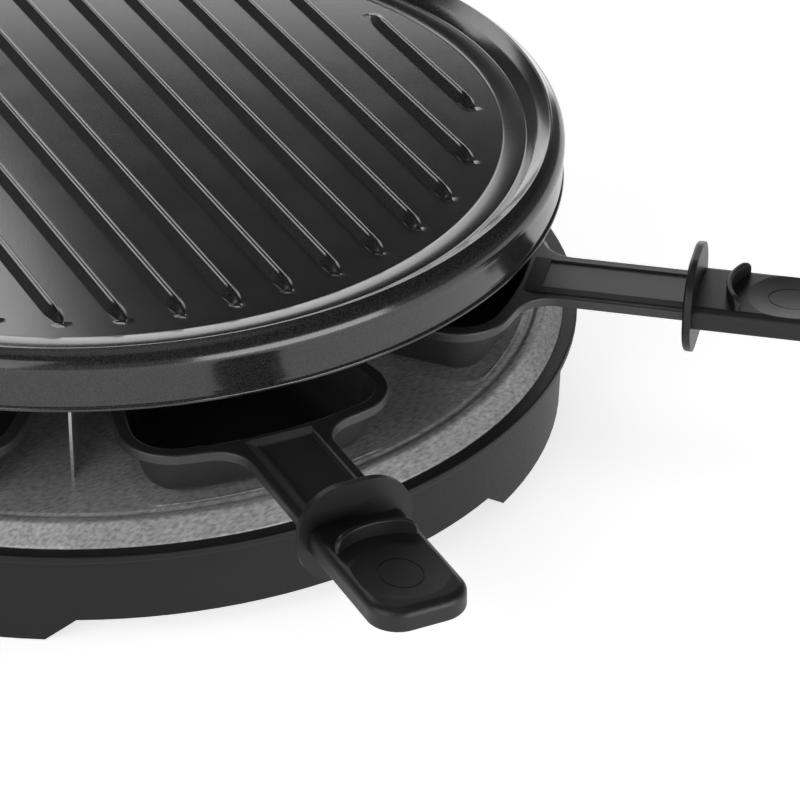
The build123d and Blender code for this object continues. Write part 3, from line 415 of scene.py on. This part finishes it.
def swell(off):
    """A smooth hump: one at the middle, zero where off is -1 or 1."""
    return 0.5 + 0.5 * math.cos(math.pi * off)


def spun(bm, points):
    """Spins a chain of (radius, height) points once round the axis, closed on itself."""
    verts = [bm.verts.new((x, 0, z)) for x, z in points]
    edges = [bm.edges.new(pair) for pair in zip(verts, verts[1:])]
    bmesh.ops.spin(
        bm,
        geom=verts + edges,
        cent=(0, 0, 0),
        axis=(0, 0, 1),
        dvec=(0, 0, 0),
        angle=math.tau,
        steps=SPIN_STEPS,
        use_merge=True,
        use_duplicate=False,
    )
    bmesh.ops.remove_doubles(bm, verts=bm.verts, dist=MERGE_DISTANCE)


def disc_grid(bm, radius, half, columns, rows, place):
    """A grid of cells set by place, cut to a disc with its edge pulled onto the circle."""
    bmesh.ops.create_grid(bm, x_segments=columns, y_segments=rows, size=half)
    for vert in bm.verts:
        vert.co = place(vert.co.x, vert.co.y)
    outside = [face for face in bm.faces if all(vert.co.xy.length > radius for vert in face.verts)]
    bmesh.ops.delete(bm, geom=outside, context="FACES")
    for vert in bm.verts:
        if vert.co.xy.length > radius:
            vert.co.xy *= radius / vert.co.xy.length


def close_ring(bm):
    """Fills the narrow ring between a disc's edge and the spun form round it."""
    open_edges = [edge for edge in bm.edges if edge.is_boundary]
    bmesh.ops.triangle_fill(
        bm, edges=open_edges, use_beauty=False, use_dissolve=False, normal=(0, 0, 1)
    )
    bmesh.ops.recalc_face_normals(bm, faces=bm.faces)


def piece(bm, name, body, slot, replaced):
    """Turns a bmesh in millimetres about the grill's axis into a finished piece of the scene."""
    bmesh.ops.transform(bm, matrix=Matrix.Translation((0, GRILL_Y, 0)), verts=bm.verts)
    bmesh.ops.scale(bm, vec=(MM, MM, MM), verts=bm.verts)
    mesh = bpy.data.meshes.new(name)
    bm.to_mesh(mesh)
    bm.free()
    mesh.shade_smooth()
    mesh.set_sharp_from_angle(angle=math.radians(SHARP_ANGLE))
    made = bpy.data.objects.new(name, mesh)
    bpy.context.scene.collection.objects.link(made)
    mesh.materials.append(finish_of(slot))
    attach(made, body)
    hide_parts(*replaced)


# Grill plate

# Mesh lines crowd towards a rib's middle by this power. A rib's top edge is rounded over this
# share of its flank, and its tip keeps this share of its width.
CROWDING = 1.6
ROUNDING = 0.14
TIP_SHARE = 0.15

# Offsets outwards and upwards in millimetres, three for each bend and one for each single point
FOOT_BEND = ((-0.5, 0), (0.1, 0.12), (0.5, 0.5))
SLOPE_BEND = ((-0.5, -0.4), (0, 0), (0.6, 0.33))
CREST_BEND = ((-0.9, -0.42), (-0.1, -0.06), (0.6, -0.36))
SHOULDER_START = (0.7, -0.46)
SHOULDER_MIDDLE = (-0.95, 4.9)
CREASE_END = (-0.1, -1.2)
SKIRT_END = (-0.4, 2.6)
SKIRT_TURN = (-0.45, 2)

# Small lengths of the section in millimetres, and the share of the step's rise at its middle
STEP_START = 0.3
STEP_RUN = 0.8
STEP_SHARE = 0.4
FOOT_LEAD = 0.8
GROOVE_TOP = 1.7
GROOVE_BASE = 0.2
BEAD_ROUND = 0.4
BASE_CHAMFER = 0.3
UNDERSIDE_INSET = 1


def rib_place(s, u, v):
    """Where a point of the flat grid goes on the ribbed floor, at u along and v across the ribs."""
    share = v / s.rib_pitch
    nearest = round(share)
    has_rib = s.rib_first <= nearest <= s.rib_last
    line = abs(share - nearest) * 2 * (s.rib_lines + s.flat_lines)
    centre = s.rib_shift + nearest * s.rib_pitch
    left = 1
    if has_rib:
        half_length = math.sqrt(s.rib_circle**2 - centre**2)
        beyond = min(1, max(0, (abs(u) - half_length + s.rib_tip) / s.rib_tip))
        left = 1 - beyond * beyond
    half = s.rib_half * max(TIP_SHARE, left)
    rise = 0
    if line <= s.rib_lines:
        out = (line / s.rib_lines) ** CROWDING
        aside = half * out
        if has_rib:
            flank = (1 - out) / (1 - s.rib_top / s.rib_half)
            blend = max(0, ROUNDING - abs(1 - flank))
            rise = s.rib_height * left * (min(1, flank) - blend * blend / (4 * ROUNDING))
    else:
        aside = half + (s.rib_pitch / 2 - half) * (line - s.rib_lines) / s.flat_lines
    return u, centre + math.copysign(aside, share - nearest), s.floor + max(0, rise)


def rim_section(s):
    """The plate's section from the step round its floor, over the rim, to the underside."""
    ledge = s.floor + s.step_rise
    lip = s.base + s.bead_height
    hollow = s.radius - s.taper - s.recess
    inner = s.radius - s.skirt_wall
    step = s.step_radius + STEP_START
    points = [(step, s.floor), (step + STEP_RUN / 2, s.floor + s.step_rise * STEP_SHARE)]
    points += [(step + STEP_RUN, ledge), (s.foot_radius - FOOT_LEAD, ledge)]
    points += bend(s.foot_radius, ledge, FOOT_BEND, steps=5)
    points += bend(s.bend_radius, s.bend, SLOPE_BEND, steps=5)
    points += bend(s.crest_radius, s.crest, CREST_BEND, steps=6)
    points += arc_points(
        moved(s.crest_radius, s.crest, SHOULDER_START),
        moved(s.radius, s.crease, SHOULDER_MIDDLE),
        (s.radius, s.crease),
        steps=14,
    )
    points += [moved(s.radius, s.crease, CREASE_END)]
    points += [moved(s.radius, lip, SKIRT_END), moved(s.radius, lip, SKIRT_TURN)]
    points += [(hollow, lip + GROOVE_TOP), (hollow, lip + GROOVE_BASE)]
    points += arc_points(
        (s.radius - BEAD_ROUND, lip),
        (s.radius, s.base + s.bead_height / 2),
        (s.radius - BEAD_ROUND, s.base),
        steps=6,
    )
    points += [(inner + BASE_CHAMFER, s.base), (inner, s.base + BASE_CHAMFER), (inner, s.crease)]
    points += [(s.crest_radius - UNDERSIDE_INSET, s.crest - s.sheet)]
    points += [(s.foot_radius + UNDERSIDE_INSET, s.floor - s.sheet), (0, s.floor - s.sheet)]
    return points


class RACLETTE_OT_grill_plate(bpy.types.Operator):
    """Press the grill plate: rolled rim, skirt and a floor with ribs"""

    bl_idname = "raclette.grill_plate"
    bl_label = "Grill plate"

    def execute(self, context):
        s = context.scene.raclette_plate
        bm = bmesh.new()
        pitches = math.ceil((s.step_radius + abs(s.rib_shift)) / s.rib_pitch)
        rows = 4 * pitches * (s.rib_lines + s.flat_lines)
        half = pitches * s.rib_pitch
        columns = int(2 * half / s.cell)
        disc_grid(bm, s.step_radius, half, columns, rows, lambda u, v: rib_place(s, u, v))
        turned = Matrix.Rotation(math.radians(RIB_AZIMUTH - 90), 3, "Z")
        bmesh.ops.rotate(bm, verts=bm.verts, cent=(0, 0, 0), matrix=turned)
        spun(bm, rim_section(s))
        close_ring(bm)
        piece(bm, "ribbed_plate", "plate", "plate_coat", ["grill_plate"])
        return {"FINISHED"}


# Deck

# Margins and offsets in millimetres. The bend into the bevel ends EDGE_OUT outwards, and as far
# down as the bevel falls over EDGE_FALL.
DISC_MARGIN = 2
PAN_MARGIN = 4
DECK_GAP = 0.2
GROOVE_STEPS = 16
EDGE_START = (-0.9, 0)
EDGE_MIDDLE = (-0.1, -0.22)
EDGE_OUT = 0.6
EDGE_FALL = 0.8
HEM = ((-0.5, 0.35), (-0.1, 0), (0, -0.3))
HEM_WIDTH = 1


def pan_distance(s, x, y):
    """Distance from the outline of a pan's rim to a point beside it, below zero within."""
    middle = (s.pan_back + s.pan_front) / 2
    half_depth = (s.pan_front - s.pan_back) / 2
    half_width = s.pan_back_half + (x - s.pan_back) * s.pan_slope
    bow = y * y / (2 * s.pan_front) if x > middle else 0
    ahead = abs(x - middle) + bow - (half_depth - s.pan_corner)
    aside = (abs(y) - half_width) + s.pan_corner
    return math.hypot(max(0, ahead), max(0, aside)) + min(0, max(ahead, aside)) - s.pan_corner


def deck_rise(s, x, y):
    """Height of the deck's top at a point, with the shallow bead pressed round each pan."""
    height = s.height
    if s.pan_back - PAN_MARGIN < math.hypot(x, y) < s.pan_front + PAN_MARGIN:
        for share in PAN_SHARES:
            azimuth = math.radians(share * PITCH)
            along = x * math.sin(azimuth) - y * math.cos(azimuth)
            across = x * math.cos(azimuth) + y * math.sin(azimuth)
            off = (pan_distance(s, along, across) + s.bead_inset) / s.bead_half
            if abs(off) < 1:
                height += s.bead_height * swell(off)
    return height


def deck_section(s):
    """The deck's section from its flat part, over the groove and the bevel, to the underside."""
    points = [(s.flat_radius + DECK_GAP, s.height)]
    for step in range(GROOVE_STEPS + 1):
        off = 2 * step / GROOVE_STEPS - 1
        depth = s.groove_depth * swell(off)
        points.append((s.groove_radius + off * s.groove_width / 2, s.height - depth))
    inner = s.radius - s.bevel_width
    edge_end = (EDGE_OUT, -EDGE_FALL * s.bevel_drop / s.bevel_width)
    points += bend(inner, s.height, (EDGE_START, EDGE_MIDDLE, edge_end), steps=6)
    low = s.height - s.bevel_drop
    points += [moved(s.radius, low, offset) for offset in HEM]
    points += [(s.radius, low - s.sheet), (s.radius - HEM_WIDTH, low - s.sheet)]
    points += [(inner - s.sheet / 2, s.height - s.sheet), (0, s.height - s.sheet)]
    return points


class RACLETTE_OT_deck(bpy.types.Operator):
    """Press the deck: a flat sheet with a bead round each pan, a ring groove and a bevelled edge"""

    bl_idname = "raclette.deck"
    bl_label = "Deck"

    def execute(self, context):
        s = context.scene.raclette_deck
        bm = bmesh.new()
        half = s.flat_radius + DISC_MARGIN
        cells = int(2 * half / s.cell)
        disc_grid(bm, s.flat_radius, half, cells, cells, lambda x, y: (x, y, deck_rise(s, x, y)))
        spun(bm, deck_section(s))
        close_ring(bm)
        piece(bm, "pressed_deck", "base", "deck_steel", ["deck_plate"])
        return {"FINISHED"}


class RACLETTE_OT_finishes(bpy.types.Operator):
    """Give every carried-over piece its own finish"""

    bl_idname = "raclette.finishes"
    bl_label = "Finishes"

    def execute(self, context):
        slots = {part["node"]: part["material_slot"] for part in frame["record"]["subparts"]}
        for name, node in frame["nodes"].items():
            node.data.materials.clear()
            node.data.materials.append(finish_of(slots[name]))
        return {"FINISHED"}


# Stage

# Each lamp's name, the setting of its power, its width, height, place and aim. These are in
# metres from the grill's axis, with +Y along the camera's direction and +X to its right.
LAMPS = (
    ("back_wall", "wall", 0.8, 0.54, (0.15, 1, 0.27), (0.15, 0, 0.27)),
    ("left_box", "left_box", 1.05, 0.35, (-0.6, 1.04, 1), (0, 0, 0.1)),
    ("right_box", "right_box", 0.7, 0.3, (0.64, -0.64, 0.155), (0, 0, 0.1)),
    ("front_box", "front_box", 1.3, 0.9, (-0.72, -0.86, 0.52), (0, 0, 0.06)),
)

# Where the room's light changes: shares of the way behind and of the way up
BEHIND = (-0.6, 0.3)
LOW_TOP = (0.25, 0.45)
ROOF_START = (0.9, 0.98)

# Half the floor's side and the camera's clip range in metres, and its sensor in millimetres
FLOOR_HALF = 6
SENSOR_WIDTH = 36
CLIP = (0.05, 50)


class RACLETTE_OT_stage(bpy.types.Operator):
    """Set the floor, the studio lamps, the room and the camera"""

    bl_idname = "raclette.stage"
    bl_label = "Stage"

    def execute(self, context):
        s = context.scene.raclette_stage
        scene = context.scene
        scene.view_settings.view_transform = "Standard"
        turn = Matrix.Rotation(s.azimuth, 4, "Z")
        around = Matrix.Translation((0, GRILL_Y * MM, 0)) @ turn
        self.floor(scene, s)
        self.room(scene, s)
        self.lamps(scene, s, around)
        self.camera(scene, s, around)
        return {"FINISHED"}

    def floor(self, scene, s):
        """A wide floor that is white where nothing shades it, and keeps the grill's shadow."""
        bm = bmesh.new()
        bmesh.ops.create_grid(bm, x_segments=4, y_segments=4, size=FLOOR_HALF)
        mesh = bpy.data.meshes.new("studio_floor")
        bm.to_mesh(mesh)
        bm.free()
        floor = bpy.data.objects.new("studio_floor", mesh)
        scene.collection.objects.link(floor)
        made, tree, shader = nodes_of("studio floor", (0.8, 0.8, 0.8), 0, 0.9, specular=0)
        seen = tree.nodes.new("ShaderNodeBsdfDiffuse")
        seen.inputs["Color"].default_value = (*s.floor_seen, 1)
        path = tree.nodes.new("ShaderNodeLightPath")
        surface = tree.nodes.new("ShaderNodeMixShader")
        tree.links.new(path.outputs["Is Camera Ray"], surface.inputs[0])
        tree.links.new(shader.outputs[0], surface.inputs[1])
        tree.links.new(seen.outputs[0], surface.inputs[2])
        white = tree.nodes.new("ShaderNodeEmission")
        lift = self.scaled(tree, self.shown(tree), s.floor_white)
        tree.links.new(lift, white.inputs["Strength"])
        both = tree.nodes.new("ShaderNodeAddShader")
        tree.links.new(surface.outputs[0], both.inputs[0])
        tree.links.new(white.outputs[0], both.inputs[1])
        tree.links.new(both.outputs[0], tree.nodes["Material Output"].inputs["Surface"])
        mesh.materials.append(made)

    def shown(self, tree):
        """One for camera, glossy and transmission rays, which see the pale floor."""
        path = tree.nodes.new("ShaderNodeLightPath")
        camera, glossy = path.outputs["Is Camera Ray"], path.outputs["Is Glossy Ray"]
        first = self.joined(tree, "MAXIMUM", camera, glossy)
        return self.joined(tree, "MAXIMUM", first, path.outputs["Is Transmission Ray"])

    def joined(self, tree, operation, first, second):
        """Two values joined by one operation."""
        made = tree.nodes.new("ShaderNodeMath")
        made.operation = operation
        tree.links.new(first, made.inputs[0])
        tree.links.new(second, made.inputs[1])
        return made.outputs[0]

    def scaled(self, tree, value, factor):
        """A value times a plain number."""
        made = tree.nodes.new("ShaderNodeMath")
        made.operation = "MULTIPLY"
        made.inputs[1].default_value = factor
        tree.links.new(value, made.inputs[0])
        return made.outputs[0]

    def room(self, scene, s):
        """A dim room: a soft glow low down all round, dark half way up and a pale roof."""
        world = bpy.data.worlds.new("studio")
        world.use_nodes = True
        scene.world = world
        tree = world.node_tree
        background = tree.nodes["Background"]
        where = tree.nodes.new("ShaderNodeTexCoord")
        split = tree.nodes.new("ShaderNodeSeparateXYZ")
        tree.links.new(where.outputs["Generated"], split.inputs["Vector"])
        behind = tree.nodes.new("ShaderNodeVectorMath")
        behind.operation = "DOT_PRODUCT"
        behind.inputs[1].default_value = (-math.sin(s.azimuth), math.cos(s.azimuth), 0)
        tree.links.new(where.outputs["Generated"], behind.inputs[0])
        low = spread(tree, behind.outputs["Value"], s.low_front, s.low_back, *BEHIND)
        rising = spread(tree, split.outputs["Z"], 1, 0, *LOW_TOP)
        level = self.joined(tree, "MULTIPLY", low, rising)
        above = spread(tree, split.outputs["Z"], s.middle, s.roof, *ROOF_START)
        glow = self.joined(tree, "MAXIMUM", level, above)
        path = tree.nodes.new("ShaderNodeLightPath")
        strength = self.joined(tree, "MAXIMUM", path.outputs["Is Camera Ray"], glow)
        tree.links.new(strength, background.inputs["Strength"])
        background.inputs["Color"].default_value = (1, 1, 1, 1)

    def lamps(self, scene, s, around):
        """The wall and softboxes of the table above."""
        for name, power, width, height, place, aim in LAMPS:
            lamp = bpy.data.lights.new(name, "AREA")
            lamp.energy = getattr(s, power)
            lamp.shape = "RECTANGLE"
            lamp.size = width
            lamp.size_y = height
            made = bpy.data.objects.new(name, lamp)
            scene.collection.objects.link(made)
            made.location = around @ Vector(place)
            towards = around @ Vector(aim) - made.location
            made.rotation_euler = towards.to_track_quat("-Z", "Y").to_euler()
            made.visible_camera = False

    def camera(self, scene, s, around):
        """The camera, level and turned to the settings' azimuth and elevation."""
        made = bpy.data.objects.new("camera", bpy.data.cameras.new("camera"))
        made.data.lens = s.lens
        made.data.sensor_width = SENSOR_WIDTH
        made.data.clip_start, made.data.clip_end = CLIP
        made.location = around @ (Vector(s.camera) * MM)
        made.rotation_euler = (math.pi / 2 - s.elevation, 0, s.azimuth)
        scene.collection.objects.link(made)
        scene.camera = made


class RACLETTE_PT_panel(bpy.types.Panel):
    """Lists the steps that make the grill and its stage"""

    bl_idname = "RACLETTE_PT_panel"
    bl_label = "Raclette grill"
    bl_space_type = "VIEW_3D"
    bl_region_type = "UI"
    bl_category = "Raclette grill"

    def draw(self, context):
        for operator in OPERATORS:
            self.layout.operator(operator.bl_idname)


GROUPS = {
    "raclette_plate": GrillPlateSettings,
    "raclette_deck": DeckSettings,
    "raclette_stage": StageSettings,
}
OPERATORS = [
    RACLETTE_OT_finishes,
    RACLETTE_OT_grill_plate,
    RACLETTE_OT_deck,
    RACLETTE_OT_stage,
]


def register():
    for group in (*GROUPS.values(), *OPERATORS, RACLETTE_PT_panel):
        bpy.utils.register_class(group)
    for name, group in GROUPS.items():
        setattr(bpy.types.Scene, name, PointerProperty(type=group))


def unregister():
    for name in GROUPS:
        delattr(bpy.types.Scene, name)
    for group in (*GROUPS.values(), *OPERATORS, RACLETTE_PT_panel):
        bpy.utils.unregister_class(group)


def main():
    register()
    bpy.ops.raclette.finishes()
    bpy.ops.raclette.grill_plate()
    bpy.ops.raclette.deck()
    bpy.ops.raclette.stage()


if __name__ == "__main__":
    main()
